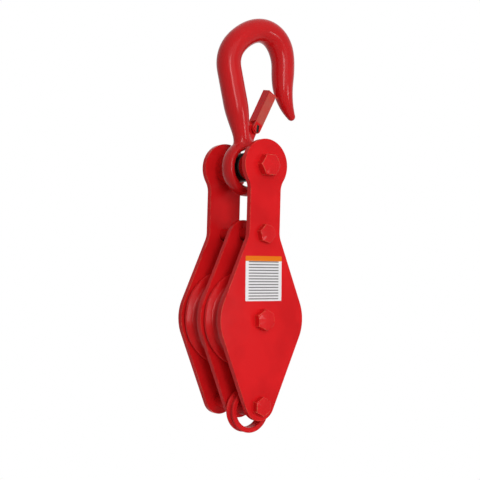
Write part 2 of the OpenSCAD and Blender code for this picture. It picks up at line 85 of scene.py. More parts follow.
def add_node(tree, kind, inputs=None, **settings):
    """Adds a node with its settings. Its sockets get values, or links from other nodes' sockets;
    a node that is named whole gives the first of its outputs that is in use."""
    node = tree.nodes.new(kind)
    for key, value in settings.items():
        setattr(node, key, value)
    for key, value in (inputs or {}).items():
        if isinstance(value, bpy.types.Node):
            value = next(socket for socket in value.outputs if socket.enabled)
        if isinstance(value, bpy.types.NodeSocket):
            tree.links.new(value, node.inputs[key])
        else:
            node.inputs[key].default_value = value
    return node


def new_finish(name):
    """A new material with its output, and the Object coordinates that its patterns read."""
    material = bpy.data.materials.new(name)
    material.use_nodes = True
    tree = material.node_tree
    tree.nodes.clear()
    output = add_node(tree, "ShaderNodeOutputMaterial")
    place = add_node(tree, "ShaderNodeTexCoord").outputs["Object"]
    return material, tree, output, place


def red_enamel(name, lump_mm, lump_depth, shine=0.1, red=enamel_red, edge_turn=0.9, rough=0.12):
    """Sprayed red enamel: a soft gloss with slight orange peel over the lumps of the steel below.
    The paint is thinner and paler along sharp edges, a paleness that is also a painted highlight,
    and its depth of colour drifts a little."""
    drift_mm, peel_mm, peel_depth_mm, scuff_mm = 40.0, 1.6, 0.05, 7.0
    edge_mm, edge_flat, edge_thin_and_highlight, rough_drift = 0.9, 0.9, 0.8, 0.08
    material, tree, output, place = new_finish(name)
    drift = add_node(
        tree, "ShaderNodeTexNoise", {"Vector": place, "Scale": 1 / (drift_mm * mm), "Detail": 3.0}
    )
    depth = add_node(
        tree, "ShaderNodeMapRange", {"Value": drift, "From Min": 0.35, "From Max": 0.6}
    )
    colour = add_node(
        tree,
        "ShaderNodeMix",
        {"Factor": depth, "A": linear(enamel_shade), "B": linear(red)},
        data_type="RGBA",
    )
    corner = add_node(tree, "ShaderNodeBevel", {"Radius": edge_mm * mm}, samples=6)
    face = add_node(tree, "ShaderNodeNewGeometry")
    across = add_node(
        tree,
        "ShaderNodeVectorMath",
        {0: corner, 1: face.outputs["Normal"]},
        operation="DOT_PRODUCT",
    )
    edge = add_node(
        tree,
        "ShaderNodeMapRange",
        {
            "Value": across,
            "From Min": edge_flat + edge_turn / 10,
            "From Max": edge_turn,
            "To Max": edge_thin_and_highlight,
        },
    )
    scuff = add_node(
        tree, "ShaderNodeTexNoise", {"Vector": place, "Scale": 1 / (scuff_mm * mm), "Detail": 5.0}
    )
    patch = add_node(
        tree, "ShaderNodeMapRange", {"Value": scuff, "From Min": 0.36, "From Max": 0.62}
    )
    # Pale sharp edges: thin paint, and a painted highlight on the edges.
    thin_and_highlight = add_node(tree, "ShaderNodeMath", {0: edge, 1: patch}, operation="MULTIPLY")
    worn_and_highlit = add_node(
        tree,
        "ShaderNodeMix",
        {"Factor": thin_and_highlight, "A": colour, "B": linear(thin_paint_and_highlight_red)},
        data_type="RGBA",
    )
    gloss = add_node(
        tree,
        "ShaderNodeMapRange",
        {
            "Value": scuff,
            "From Min": 0.3,
            "From Max": 0.7,
            "To Min": rough,
            "To Max": rough + rough_drift,
        },
    )
    lumps = add_node(
        tree, "ShaderNodeTexNoise", {"Vector": place, "Scale": 1 / (lump_mm * mm), "Detail": 2.0}
    )
    peel = add_node(
        tree, "ShaderNodeTexNoise", {"Vector": place, "Scale": 1 / (peel_mm * mm), "Detail": 1.0}
    )
    uneven = add_node(
        tree, "ShaderNodeBump", {"Height": lumps, "Distance": lump_depth * mm, "Strength": 1.0}
    )
    skin = add_node(
        tree,
        "ShaderNodeBump",
        {"Height": peel, "Distance": peel_depth_mm * mm, "Strength": 0.5, "Normal": uneven},
    )
    enamel = add_node(
        tree,
        "ShaderNodeBsdfPrincipled",
        {
            "Base Color": worn_and_highlit,
            "Roughness": gloss,
            "Normal": skin,
            "IOR": 1.5,
            "Specular IOR Level": shine,
        },
    )
    tree.links.new(enamel.outputs["BSDF"], output.inputs["Surface"])
    return material


def first_point(name, at):
    """Starts a new piece as one selected point, in edit mode."""
    bpy.ops.object.select_all(action="DESELECT")
    bpy.ops.mesh.primitive_plane_add(size=mm)
    piece = bpy.context.object
    piece.name = name
    piece.data.name = name
    bpy.ops.object.mode_set(mode="EDIT")
    bpy.ops.mesh.select_mode(type="VERT")
    bpy.ops.mesh.merge(type="CENTER")
    bpy.ops.transform.translate(value=at)
    return piece


def draw(name, strokes, place, axis):
    """Draws a new piece as a line: a first point, then straight strokes (u, v) and arcs
    (centre u, centre v, degrees). The line stays selected, in edit mode."""
    pen = Vector(strokes[0])
    piece = first_point(name, place(*pen))
    for stroke in strokes[1:]:
        if len(stroke) == 2:
            step = place(*stroke) - place(*pen)
            bpy.ops.mesh.extrude_region_move(TRANSFORM_OT_translate={"value": step})
            pen = Vector(stroke)
        else:
            centre, turn = Vector(stroke[:2]), math.radians(stroke[2])
            steps = max(2, round(abs(stroke[2]) / arc_step))
            bpy.ops.mesh.spin(steps=steps, angle=turn, center=place(*centre), axis=axis)
            arm = pen - centre
            pen = centre + Vector(
                (
                    arm.x * math.cos(turn) - arm.y * math.sin(turn),
                    arm.x * math.sin(turn) + arm.y * math.cos(turn),
                )
            )
    bpy.ops.mesh.select_all(action="SELECT")
    bpy.ops.mesh.remove_doubles(threshold=weld_gap * mm)
    return piece


def slab(name, strokes, y, thick):
    """A flat piece of the drawn outline, in x and z, from y towards the rear."""
    piece = draw(name, strokes, lambda u, v: Vector((u, y, v)) * mm, (0, 1, 0))
    bpy.ops.mesh.edge_face_add()
    bpy.ops.mesh.extrude_region_move(TRANSFORM_OT_translate={"value": (0, thick * mm, 0)})
    bpy.ops.mesh.select_all(action="SELECT")
    bpy.ops.mesh.normals_make_consistent(inside=False)
    bpy.ops.object.mode_set(mode="OBJECT")
    return piece


def activate(piece):
    """Makes a piece the only selected one."""
    bpy.ops.object.select_all(action="DESELECT")
    piece.select_set(True)
    bpy.context.view_layer.objects.active = piece


def work(piece, kind, **settings):
    """Adds one modifier with its settings and applies it."""
    activate(piece)
    bpy.ops.object.modifier_add(type=kind)
    step = piece.modifiers[-1]
    for key, value in settings.items():
        setattr(step, key, value)
    bpy.ops.object.modifier_apply(modifier=step.name)


def machine(piece, tool, operation):
    """Cuts or joins a piece with a tool piece, which is then thrown away."""
    work(piece, "BOOLEAN", operation=operation, object=tool, solver="EXACT")
    bpy.data.objects.remove(tool)


def drill(piece, x, y, z, diameter, depth):
    """Drills a round hole along y, with its middle at the given place."""
    bpy.ops.object.select_all(action="DESELECT")
    bpy.ops.mesh.primitive_cylinder_add(
        vertices=drill_sides,
        radius=diameter / 2 * mm,
        depth=depth * mm,
        location=(x * mm, y * mm, z * mm),
        rotation=(math.pi / 2, 0, 0),
    )
    machine(piece, bpy.context.object, "DIFFERENCE")


def ease_edges(piece, width, segments=3):
    """Rounds every sharp edge of a piece."""
    work(
        piece,
        "BEVEL",
        width=width * mm,
        segments=segments,
        limit_method="ANGLE",
        angle_limit=math.radians(sharp_angle),
        use_clamp_overlap=True,
    )


def paint(piece, material):
    """Smooths a piece's curved faces and gives it its finish."""
    activate(piece)
    bpy.ops.object.shade_smooth_by_angle(angle=math.radians(smooth_angle))
    work(piece, "WEIGHTED_NORMAL", keep_sharp=True)
    piece.data.materials.clear()
    piece.data.materials.append(material)


def fit(piece, material, body, slot, *nodes):
    """Finishes a piece and puts it on its body in the place of its solids."""
    paint(piece, material)
    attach(piece, body)
    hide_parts(*nodes)


plate_paint = red_enamel("red enamel on rolled plate", 14.0, 0.10, 0.06)
side_x = plate_half_w - side_r
top_z, low_z = tie_z - end_inset, becket_z + end_inset
end_drop = axle_z - top_z
lean = math.degrees(
    math.atan2(end_drop, side_x) + math.acos((end_r - side_r) / math.hypot(side_x, end_drop))
)
facing = Vector((math.cos(math.radians(lean)), math.sin(math.radians(lean))))
hollow_x = neck_half_w + head_hollow_r
hollow_z = hook_bolt_z - math.sqrt((head_r + head_hollow_r) ** 2 - hollow_x**2)
hollow_turn = math.degrees(math.atan2(hook_bolt_z - hollow_z, hollow_x))
shoulder_x = neck_half_w + shoulder_r
shoulder_z = top_z + (end_r + shoulder_r - facing.x * shoulder_x) / facing.y


def on_end(side, z, up):
    """The place on a round end where a straight side begins."""
    return (block_x + side * end_r * facing.x, z + up * end_r * facing.y)


def on_corner(side, up):
    """The place on a wide round corner where a straight side begins."""
    return (block_x + side * (side_x + side_r * facing.x), axle_z + up * side_r * facing.y)


lower_half = [
    on_corner(-1, -1),
    on_end(-1, low_z, -1),
    (block_x, low_z, 180 - 2 * lean),
    on_corner(1, -1),
    (block_x + side_x, axle_z, 2 * lean),
]
last_corner = (block_x - side_x, axle_z, 2 * lean)
cheek_outline = lower_half + [
    (block_x + shoulder_x - shoulder_r * facing.x, shoulder_z - shoulder_r * facing.y),
    (block_x + shoulder_x, shoulder_z, -lean),
    (block_x + neck_half_w, hollow_z),
    (block_x + hollow_x, hollow_z, -hollow_turn),
    (block_x, hook_bolt_z, 180 + 2 * hollow_turn),
    (block_x - hollow_x, hollow_z, -hollow_turn),
    (block_x - neck_half_w, shoulder_z),
    (block_x - shoulder_x, shoulder_z, -lean),
    on_corner(-1, 1),
    last_corner,
]
centre_outline = lower_half + [
    on_end(1, top_z, 1),
    (block_x, top_z, 180 - 2 * lean),
    on_corner(-1, 1),
    last_corner,
]
for name, outline, front, top in (
    ("cheek_plate_front", cheek_outline, -cheek_out, hook_bolt_z),
    ("cheek_plate_rear", cheek_outline, cheek_in, hook_bolt_z),
    ("centre_plate", centre_outline, -plate_t / 2, tie_z),
):
    plate = slab(f"{name}_painted", outline, front, plate_t)
    for z, diameter in bolt_hole.items():
        if z <= top:
            drill(plate, block_x, front + plate_t / 2, z, diameter, 2 * plate_t)
    ease_edges(plate, plate_edge_r)
    fit(plate, plate_paint, "frame", "red_paint", name)

# Spacers, collars and spool: steel tube parted off on a lathe, edges eased, painted with the frame.
# The bolts clamp them between the plates, where they hold the bays open. The tie spacers'
# undersides are painted dark brown below their axis: a painted shade.
hook_eye_w = 17.8
side_clear = 0.4
bolt_clear = 0.1
tie_d = 10.0
hook_d = 14.0
axle_d = 12.0
spacer_d = 14.0
spool_d = 23.0
collar_d = 29.0
collar_len = cheek_in - hook_eye_w / 2 - side_clear
tube_edge_r = 0.6
underside_shade_brown = "#4E0B0C"
underside_shade_from, underside_shade_full = 0.1, 0.48


def turned(name, strokes, x, y, z, steps=96):
    """A piece turned about an axis along y; its section is drawn as radius and place along y."""
    piece = draw(name, strokes, lambda r, a: Vector((x + r, y + a, z)) * mm, (0, 0, -1))
    centre = Vector((x, y, z)) * mm
    bpy.ops.mesh.spin(steps=steps, angle=2 * math.pi, center=centre, axis=(0, 1, 0))
    bpy.ops.mesh.select_all(action="SELECT")
    bpy.ops.mesh.remove_doubles(threshold=weld_gap * mm)
    bpy.ops.mesh.normals_make_consistent(inside=False)
    bpy.ops.object.mode_set(mode="OBJECT")
    return piece


def tube(name, outer_d, inner_d, y, length, z, edge_r):
    """A tube along y with eased edges."""
    inner, outer = inner_d / 2, outer_d / 2
    section = [(inner, 0), (outer, 0), (outer, length), (inner, length), (inner, 0)]
    piece = turned(name, section, block_x, y, z)
    ease_edges(piece, edge_r)
    return piece


def tint_paint(coat, mask, code):
    """Lets another colour show on a painted finish where the mask is 1."""
    tree = coat.node_tree
    colour = tree.nodes["Principled BSDF"].inputs["Base Color"]
    tinted = add_node(
        tree,
        "ShaderNodeMix",
        {"Factor": mask, "A": colour.links[0].from_socket, "B": linear(code)},
        data_type="RGBA",
    )
    tree.links.new(tinted.outputs["Result"], colour)


tube_paint = red_enamel("red enamel on turned steel", 9.0, 0.04, 0.04, rough=0.5)
tie_paint = red_enamel("red enamel on tie spacers", 9.0, 0.04)
# Painted shade: the tie spacers' red darkens to brown towards their undersides.
tree = tie_paint.node_tree
place = add_node(tree, "ShaderNodeTexCoord").outputs["Object"]
height = add_node(tree, "ShaderNodeSeparateXYZ", {"Vector": place})
underside_shade = add_node(
    tree,
    "ShaderNodeMapRange",
    {
        "Value": height.outputs["Z"],
        "From Min": (tie_z - underside_shade_from * spacer_d) * mm,
        "From Max": (tie_z - underside_shade_full * spacer_d) * mm,
    },
)
tint_paint(tie_paint, underside_shade, underside_shade_brown)
front_bay, rear_bay = -cheek_in, plate_t / 2
eye_side = hook_eye_w / 2 + side_clear
for name, outer_d, inner_d, y, length, z, material in (
    ("tie_spacer_front", spacer_d, tie_d, front_bay, bay, tie_z, tie_paint),
    ("tie_spacer_rear", spacer_d, tie_d, rear_bay, bay, tie_z, tie_paint),
    ("becket_spacer", spacer_d, tie_d, rear_bay, bay, becket_z, tube_paint),
    ("becket_spool", spool_d, tie_d, front_bay, bay, becket_z, tube_paint),
    ("hook_collar_front", collar_d, hook_d, front_bay, collar_len, hook_bolt_z, tube_paint),
    ("hook_collar_rear", collar_d, hook_d, eye_side, collar_len, hook_bolt_z, tube_paint),
):
    piece = tube(
        f"{name}_painted", outer_d, inner_d + 2 * bolt_clear, y, length, z, tube_edge_r
    )
    fit(piece, material, "frame", "red_paint", name)

# Hook bush: a plain steel bush left unpainted inside the eye, dark with oil and handling; its
# near-black also serves as painted shade inside the eye.
# It sits on the hook bolt between the collars, and the eye bears on it.
bush_d = 30.4
bush_edge_r = 0.8
bush_bore = hook_d + 2 * bolt_clear
oil_dark_and_shade = "#1B1A1A"
oil_brown = "#34302C"
smear_mm = 6.0
# Oil darkens the bare steel, in smears that are now brown and dull, now black with a wet shine.
# The same dark finish fills the latch pin's slot, as painted shade.
oiled_steel_and_shade, tree, output, place = new_finish("oiled dark steel and painted shade")
smear = add_node(
    tree, "ShaderNodeTexNoise", {"Vector": place, "Scale": 1 / (smear_mm * mm), "Detail": 4.0}
)
tint = add_node(
    tree,
    "ShaderNodeMix",
    {"Factor": smear, "A": linear(oil_dark_and_shade), "B": linear(oil_brown)},
    data_type="RGBA",
)
wet = add_node(tree, "ShaderNodeMapRange", {"Value": smear, "To Min": 0.28, "To Max": 0.6})
steel = add_node(
    tree, "ShaderNodeBsdfPrincipled", {"Base Color": tint, "Roughness": wet, "Metallic": 0.8}
)
tree.links.new(steel.outputs["BSDF"], output.inputs["Surface"])
bush = tube(
    "hook_bush_oiled", bush_d, bush_bore, -eye_side, 2 * eye_side, hook_bolt_z, bush_edge_r
)
fit(bush, oiled_steel_and_shade, "frame", "bare_steel", "hook_bush")

# Sheaves: turned steel wheels with a rope groove, a recessed web and a hub, painted all over.
# Each turns on its bronze bush between two plates.
sheave_r = 50.0
groove_depth = 10.0
groove_r = 7.5
flank = math.radians(65)
hub_half = 13.3
rim_half = 12.6
web_half = 9.1
bush_r = 13.0
hub_r = 19.0
rim_in_r = 35.0
bay_mid = (plate_t + bay) / 2
sheave_edge_r = 0.9
groove_mid = sheave_r - groove_depth + groove_r
flank_start = (groove_mid - groove_r * math.cos(flank), groove_r * math.sin(flank))
lip = flank_start[1] + (sheave_r - flank_start[0]) / math.tan(flank)
sheave_section = [
    (bush_r + bolt_clear, -hub_half),
    (hub_r, -hub_half),
    (hub_r, -web_half),
    (rim_in_r, -web_half),
    (rim_in_r, -rim_half),
    (sheave_r, -rim_half),
    (sheave_r, -lip),
    (flank_start[0], -flank_start[1]),
    (groove_mid, 0, -2 * math.degrees(flank)),
    (sheave_r, lip),
    (sheave_r, rim_half),
    (rim_in_r, rim_half),
    (rim_in_r, web_half),
    (hub_r, web_half),
    (hub_r, hub_half),
    (bush_r + bolt_clear, hub_half),
    (bush_r + bolt_clear, -hub_half),
]
sheave_paint = red_enamel("red enamel on turned sheave", 20.0, 0.05)
for side, y in (("front", -bay_mid), ("rear", bay_mid)):
    sheave = turned(f"sheave_{side}_painted", sheave_section, block_x, y, axle_z, steps=144)
    ease_edges(sheave, sheave_edge_r)
    fit(sheave, sheave_paint, f"sheave_{side}", "red_paint", f"sheave_{side}")

# Sheave bushes, thrust washers and axle sleeves: cast bronze, turned, and bright zinc-plated tube.
# The bush is pressed into the sheave; the washers and the sleeve stay still with the frame.
sleeve_d = 19.0
thrust_d = 32.0
thrust_t = 1.0
running_clear = 0.05
bronze_warm = "#A97A3C"
bronze_dull = "#7C5A2E"
zinc_pale = "#B9BBBD"
zinc_dull = "#8C8F92"
metal_grain_depth = 0.02
bush_lip_r, washer_lip_r, sleeve_lip_r = 0.4, 0.2, 0.5


def plain_metal(name, dull, bright, grain_mm, rough, smooth):
    """A bare metal whose tarnish drifts over it in soft patches, duller where it is rougher."""
    material, tree, output, place = new_finish(name)
    patch = add_node(
        tree, "ShaderNodeTexNoise", {"Vector": place, "Scale": 1 / (grain_mm * mm), "Detail": 5.0}
    )
    level = add_node(
        tree, "ShaderNodeMapRange", {"Value": patch, "From Min": 0.35, "From Max": 0.65}
    )
    tint = add_node(
        tree,
        "ShaderNodeMix",
        {"Factor": level, "A": linear(dull), "B": linear(bright)},
        data_type="RGBA",
    )
    gloss = add_node(
        tree, "ShaderNodeMapRange", {"Value": level, "To Min": rough, "To Max": smooth}
    )
    skin = add_node(tree, "ShaderNodeBump", {"Height": patch, "Distance": metal_grain_depth * mm})
    metal = add_node(
        tree,
        "ShaderNodeBsdfPrincipled",
        {"Base Color": tint, "Roughness": gloss, "Metallic": 1.0, "Normal": skin},
    )
    tree.links.new(metal.outputs["BSDF"], output.inputs["Surface"])
    return material


bronze = plain_metal("turned bearing bronze", bronze_dull, bronze_warm, 4.0, 0.5, 0.32)
zinc = plain_metal("zinc-plated steel", zinc_dull, zinc_pale, 3.0, 0.5, 0.3)
bearing_bore = sleeve_d + 2 * running_clear
washer_bore = sleeve_d + 2 * bolt_clear
sleeve_bore = axle_d + 2 * bolt_clear
for side, y in (("front", -bay_mid), ("rear", bay_mid)):
    name = f"sheave_bush_{side}"
    front, length = y - hub_half, 2 * hub_half
    bush = tube(f"{name}_turned", 2 * bush_r, bearing_bore, front, length, axle_z, bush_lip_r)
    fit(bush, bronze, f"sheave_{side}", "bronze", name)
    name = f"thrust_washers_{side}"
    front, rear = y - bay / 2, y + bay / 2 - thrust_t
    washer = tube(f"{name}_turned", thrust_d, washer_bore, front, thrust_t, axle_z, washer_lip_r)
    other = tube("thrust_washer", thrust_d, washer_bore, rear, thrust_t, axle_z, washer_lip_r)
    activate(washer)
    other.select_set(True)
    bpy.ops.object.join()
    fit(washer, bronze, "frame", "bronze", name)
    name = f"axle_sleeve_{side}"
    sleeve = tube(f"{name}_plated", sleeve_d, sleeve_bore, front, bay, axle_z, sleeve_lip_r)
    fit(sleeve, zinc, "frame", "zinc_steel", name)

# Becket: a forged ring with a rope groove round its outside, painted red.
# It hangs loose on its spool on the lowest bolt, in the front bay.
becket_hole_r = 17.6
becket_r = 23.0
becket_half = 6.2
becket_gap = 7.2
becket_edge_r = 1.2
becket_lip_r = 0.7
becket_groove_r = 4.6
becket_groove_depth = 2.6
hang_clear = 0.3
becket_y = -(plate_t / 2 + becket_gap + becket_half)
ring_z = becket_z - (becket_hole_r - spool_d / 2 - hang_clear)
becket_groove_mid = becket_r - becket_groove_depth + becket_groove_r
lip = math.sqrt(becket_groove_r**2 - (becket_groove_mid - becket_r) ** 2)
opening = math.degrees(math.atan2(lip, becket_groove_mid - becket_r))
inner, outer = becket_hole_r + becket_edge_r, becket_r - becket_edge_r
edge = becket_half - becket_edge_r
becket_section = [
    (becket_hole_r, -edge),
    (inner, -edge, 90),
    (outer, -becket_half),
    (outer, -edge, 90),
    (becket_r, -lip),
    (becket_groove_mid, 0, -2 * opening),
    (becket_r, edge),
    (outer, edge, 90),
    (inner, becket_half),
    (inner, edge, 90),
    (becket_hole_r, -edge),
]
becket_paint = red_enamel("red enamel on forged ring", 6.0, 0.12, 0.08, rough=0.34)
becket = turned("becket_painted", becket_section, block_x, becket_y, ring_z, steps=120)
ease_edges(becket, becket_lip_r)
fit(becket, becket_paint, "becket", "red_paint", "becket")

# Hook: drop-forged steel, drawn down to a flared tip, with a ring eye and a lug for the latch.
# The forging's skin shows through the paint as soft lumps, and its joints are all well rounded.
# Inside the eye the paint is worn away to dark steel, whose near-black is also a painted shade
# for the dark inside the eye.
bowl_r = 23.6
crown_skew = 4.2
skew_bias = 1.1
shank_lean = 15.0
shank_d = 26.0
crown_d = 25.4
shoulder_d = 27.0
leg_d = 25.0
leg_straight = 12.0
flare_r = 62.0
flare_angle = 38.0
tip_d = 9.2
tip_least = 0.05
eye_hole_r = 18.9
eye_wall = 10.8
eye_section_steps = 40
eye_rest_angle = math.radians(-14)
neck_d = 16.2
neck_inset = 1.0
neck_flare = 4.0
neck_flare_run = 0.18
shank_swell = 0.55
crown_place = 0.5
shoulder_place = 0.78
leg_taper = 1.8
latch_pin_x = -2.2
latch_pin_z = -93.8
latch_pin_d = 5.0
lug_t = 4.4
lug_front = -2.4
lug_r = 5.0
lug_reach = 13.0
rib_foot = 1.5
rib_angle = math.radians(20)
forging_grain = 0.8
forging_red = "#C01619"
hook_sides = 40
bowl_line_r = bowl_r + crown_d / 2
lean_by = math.radians(shank_lean)
leg_run = leg_straight + flare_r * math.radians(flare_angle)
shank_steps, bowl_steps, leg_steps, flare_steps, tip_steps = 16, 40, 5, 14, 7
throat_r, throat_reach, throat_low = 31.0, 9.0, -118.0
dark_bore_reach, dark_bore_fade = 0.5, 1.1


def ease(t):
    """Goes from 0 to 1 with level ends."""
    t = min(1.0, max(0.0, t))
    return t * t * (3 - 2 * t)


def mix(a, b, t):
    """Goes from a to b as t goes from 0 to 1."""
    return a + (b - a) * t


def bowl_angle(t):
    """The bearing of the hook's line from the bowl's centre."""
    return mix(math.pi + lean_by, 0.0, t)


def bowl_reach(t):
    """Distance of the hook's line from the bowl's centre, from the shank at 0 to the leg at 1."""
    skew = math.pi * t**skew_bias
    return bowl_line_r - crown_skew * math.sin(2 * skew) * math.sin(skew)


def bowl_half(t):
    """Half the thickness of the hook round the bowl."""
    if t < crown_place:
        return mix(shank_d, crown_d, ease(t / crown_place)) / 2
    if t < shoulder_place:
        along = (t - crown_place) / (shoulder_place - crown_place)
        return mix(crown_d, shoulder_d, ease(along)) / 2
    return mix(shoulder_d, leg_d, ease((t - shoulder_place) / (1 - shoulder_place))) / 2


def leg_half(run):
    """Half the thickness of the free leg, at a distance from the bowl."""
    return mix(leg_d, tip_d, (run / leg_run) ** leg_taper) / 2


rounds = [i / bowl_steps for i in range(bowl_steps)]
bowl_z = -max((bowl_reach(t) - bowl_half(t)) * math.sin(bowl_angle(t)) for t in rounds)
eye_rest = eye_hole_r - bush_d / 2 - hang_clear
eye_x = block_x + eye_rest * math.cos(eye_rest_angle)
eye_z = hook_bolt_z + eye_rest * math.sin(eye_rest_angle)
shank_foot_z = eye_z + eye_hole_r + eye_wall / 2
shank_top = Vector((-bowl_line_r * math.cos(lean_by), bowl_z - bowl_line_r * math.sin(lean_by)))
shank_foot = Vector(
    (shank_top.x + (shank_top.y - shank_foot_z) * math.tan(lean_by), shank_foot_z)
)
stations = []
for i in range(shank_steps):
    t = i / shank_steps
    swell = ease(t / shank_swell)
    flare = neck_flare * max(0.0, 1 - t / neck_flare_run) ** 2
    at = mix(shank_foot, shank_top, t)
    across = mix(neck_d, shank_d, swell) / 2 + flare
    deep = mix(hook_eye_w - neck_inset, shank_d, swell) / 2
    stations.append((at.x, at.y, across, deep))
for t in rounds:
    reach, half, angle = bowl_reach(t), bowl_half(t), bowl_angle(t)
    stations.append((reach * math.cos(angle), bowl_z + reach * math.sin(angle), half, half))
for i in range(leg_steps):
    run = leg_straight * i / leg_steps
    stations.append((bowl_line_r, bowl_z - run, leg_half(run), leg_half(run)))
for i in range(flare_steps + 1):
    angle = math.radians(flare_angle) * i / flare_steps
    half = leg_half(leg_straight + flare_r * angle)
    x = bowl_line_r + flare_r * (1 - math.cos(angle))
    z = bowl_z - leg_straight - flare_r * math.sin(angle)
    stations.append((x, z, half, half))
tip_x, tip_z = stations[-1][:2]
for i in range(1, tip_steps + 1):
    t = math.pi / 2 * i / tip_steps
    reach, half = math.sin(t) * tip_d / 2, max(tip_least, math.cos(t)) * tip_d / 2
    aside = reach * math.sin(math.radians(flare_angle))
    down = reach * math.cos(math.radians(flare_angle))
    stations.append((tip_x + aside, tip_z - down, half, half))


def heading(i):
    """The turn of the hook's line from straight up, at one station."""
    before, after = stations[max(0, i - 1)], stations[min(len(stations) - 1, i + 1)]
    return math.atan2(before[0] - after[0], after[1] - before[1])


bpy.ops.object.select_all(action="DESELECT")
first = stations[0]
bpy.ops.mesh.primitive_circle_add(vertices=hook_sides, radius=mm)
hook = bpy.context.object
hook.name = "hook_painted"
hook.data.name = "hook_painted"
bpy.ops.object.mode_set(mode="EDIT")
bpy.ops.transform.resize(value=(first[2], first[3], first[2]), center_override=(0, 0, 0))
bpy.ops.transform.rotate(value=heading(0), orient_axis="Y", center_override=(0, 0, 0))
bpy.ops.transform.translate(value=Vector((first[0], 0, first[1])) * mm)
for i in range(1, len(stations)):
    last, here = stations[i - 1], stations[i]
    step = Vector((here[0] - last[0], 0, here[1] - last[1])) * mm
    centre = Vector((here[0], 0, here[1])) * mm
    across, along = here[2] / last[2], here[3] / last[3]
    bend = math.remainder(heading(i) - heading(i - 1), 2 * math.pi)
    bpy.ops.mesh.extrude_region_move(TRANSFORM_OT_translate={"value": step})
    bpy.ops.transform.rotate(value=bend, orient_axis="Y", center_override=centre)
    bpy.ops.transform.resize(value=(across, along, across), center_override=centre)
bpy.ops.mesh.select_all(action="SELECT")
bpy.ops.mesh.fill_holes(sides=0)
bpy.ops.mesh.normals_make_consistent(inside=False)
bpy.ops.object.mode_set(mode="OBJECT")

ring_r = eye_hole_r + eye_wall / 2
ring_section = []
for i in range(eye_section_steps + 1):
    t = 2 * math.pi * i / eye_section_steps
    ring_section.append((ring_r - eye_wall / 2 * math.cos(t), hook_eye_w / 2 * math.sin(t)))
eye = turned("hook_eye", ring_section, eye_x, 0, eye_z, steps=120)
rib_start = (latch_pin_x + lug_r * math.cos(rib_angle), latch_pin_z - lug_r * math.sin(rib_angle))
lug = slab(
    "latch_lug",
    [
        rib_start,
        (latch_pin_x, latch_pin_z, 90 + math.degrees(rib_angle)),
        (latch_pin_x - lug_reach, latch_pin_z + lug_r),
        tuple(shank_foot),
        (latch_pin_x - rib_foot, shank_foot_z),
        rib_start,
    ],
    lug_front,
    lug_t,
)
activate(hook)
eye.select_set(True)
lug.select_set(True)
bpy.ops.object.join()
work(hook, "REMESH", mode="VOXEL", voxel_size=forging_grain * mm)
work(hook, "SMOOTH", factor=0.5, iterations=5)
throat = hook.vertex_groups.new(name="throat")
for vertex in hook.data.vertices:
    x, z = vertex.co.x / mm, vertex.co.z / mm
    near = 1 - abs(math.hypot(x - eye_x, z - eye_z) - throat_r) / throat_reach
    if near > 0 and z > throat_low:
        throat.add([vertex.index], near, "REPLACE")
work(hook, "SMOOTH", factor=0.5, iterations=40, vertex_group="throat")
hook.vertex_groups.clear()
drill(hook, latch_pin_x, 0, latch_pin_z, latch_pin_d + 2 * running_clear, 2 * hook_eye_w)
hook_paint = red_enamel("red enamel on forging", 7.0, 0.04, 0.14, forging_red)
tree = hook_paint.node_tree
place = add_node(tree, "ShaderNodeTexCoord").outputs["Object"]
# The eye's bore shows dark steel: worn paint, and painted shade for the dark inside the eye.
from_eye = add_node(
    tree,
    "ShaderNodeVectorMath",
    {0: place, 1: Vector((eye_x, 0, eye_z)) * mm},
    operation="SUBTRACT",
)
aside = add_node(tree, "ShaderNodeVectorMath", {0: from_eye, 1: (1, 0, 1)}, operation="MULTIPLY")
radius = add_node(tree, "ShaderNodeVectorMath", {0: aside}, operation="LENGTH")
dark_bore_r = eye_hole_r + dark_bore_reach
painted_light_mask = add_node(
    tree,
    "ShaderNodeMapRange",
    {
        "Value": radius,
        "From Min": dark_bore_r * mm,
        "From Max": (dark_bore_r + dark_bore_fade) * mm,
        "To Min": 1.0,
        "To Max": 0.0,
    },
)
worn_and_shaded_bore = add_node(
    tree,
    "ShaderNodeBsdfPrincipled",
    {"Base Color": linear(oil_dark_and_shade), "Roughness": 0.5, "Metallic": 0.8},
)
enamel = tree.nodes["Principled BSDF"]
finish = add_node(tree, "ShaderNodeMixShader", {0: painted_light_mask, 1: enamel, 2: worn_and_shaded_bore})
tree.links.new(finish.outputs["Shader"], tree.nodes["Material Output"].inputs["Surface"])
fit(hook, hook_paint, "hook", "red_paint", "hook")

# Latch pin: a steel screw pin through both ears of the latch and the hook's lug, painted over.
# Its low round head has a driver slot; its rear end is set over into a dome.
pin_head_d = 8.5
pin_head_t = 1.4
pin_slot_w = 3.2
pin_slot_depth = 1.05
pin_slot_turn = math.radians(-6)
latch_w = 14.0
pin_reach = latch_w / 2 + side_clear / 2
dome_r = (pin_head_d**2 / 4 + pin_head_t**2) / (2 * pin_head_t)
dome = math.degrees(math.asin(pin_head_d / 2 / dome_r))
head_edge_r = 0.5
slot_from, slot_to, slot_out = 0.1, 1.1 * pin_slot_depth, 0.45 * pin_head_d
head_front, head_edge = -pin_reach - pin_head_t, pin_head_d / 2 - head_edge_r
pin_section = [
    (0, head_front),
    (head_edge, head_front),
    (head_edge, head_front + head_edge_r, 90),
    (pin_head_d / 2, -pin_reach),
    (latch_pin_d / 2, -pin_reach),
    (latch_pin_d / 2, pin_reach),
    (pin_head_d / 2, pin_reach),
    (0, pin_reach + pin_head_t - dome_r, dome),
]


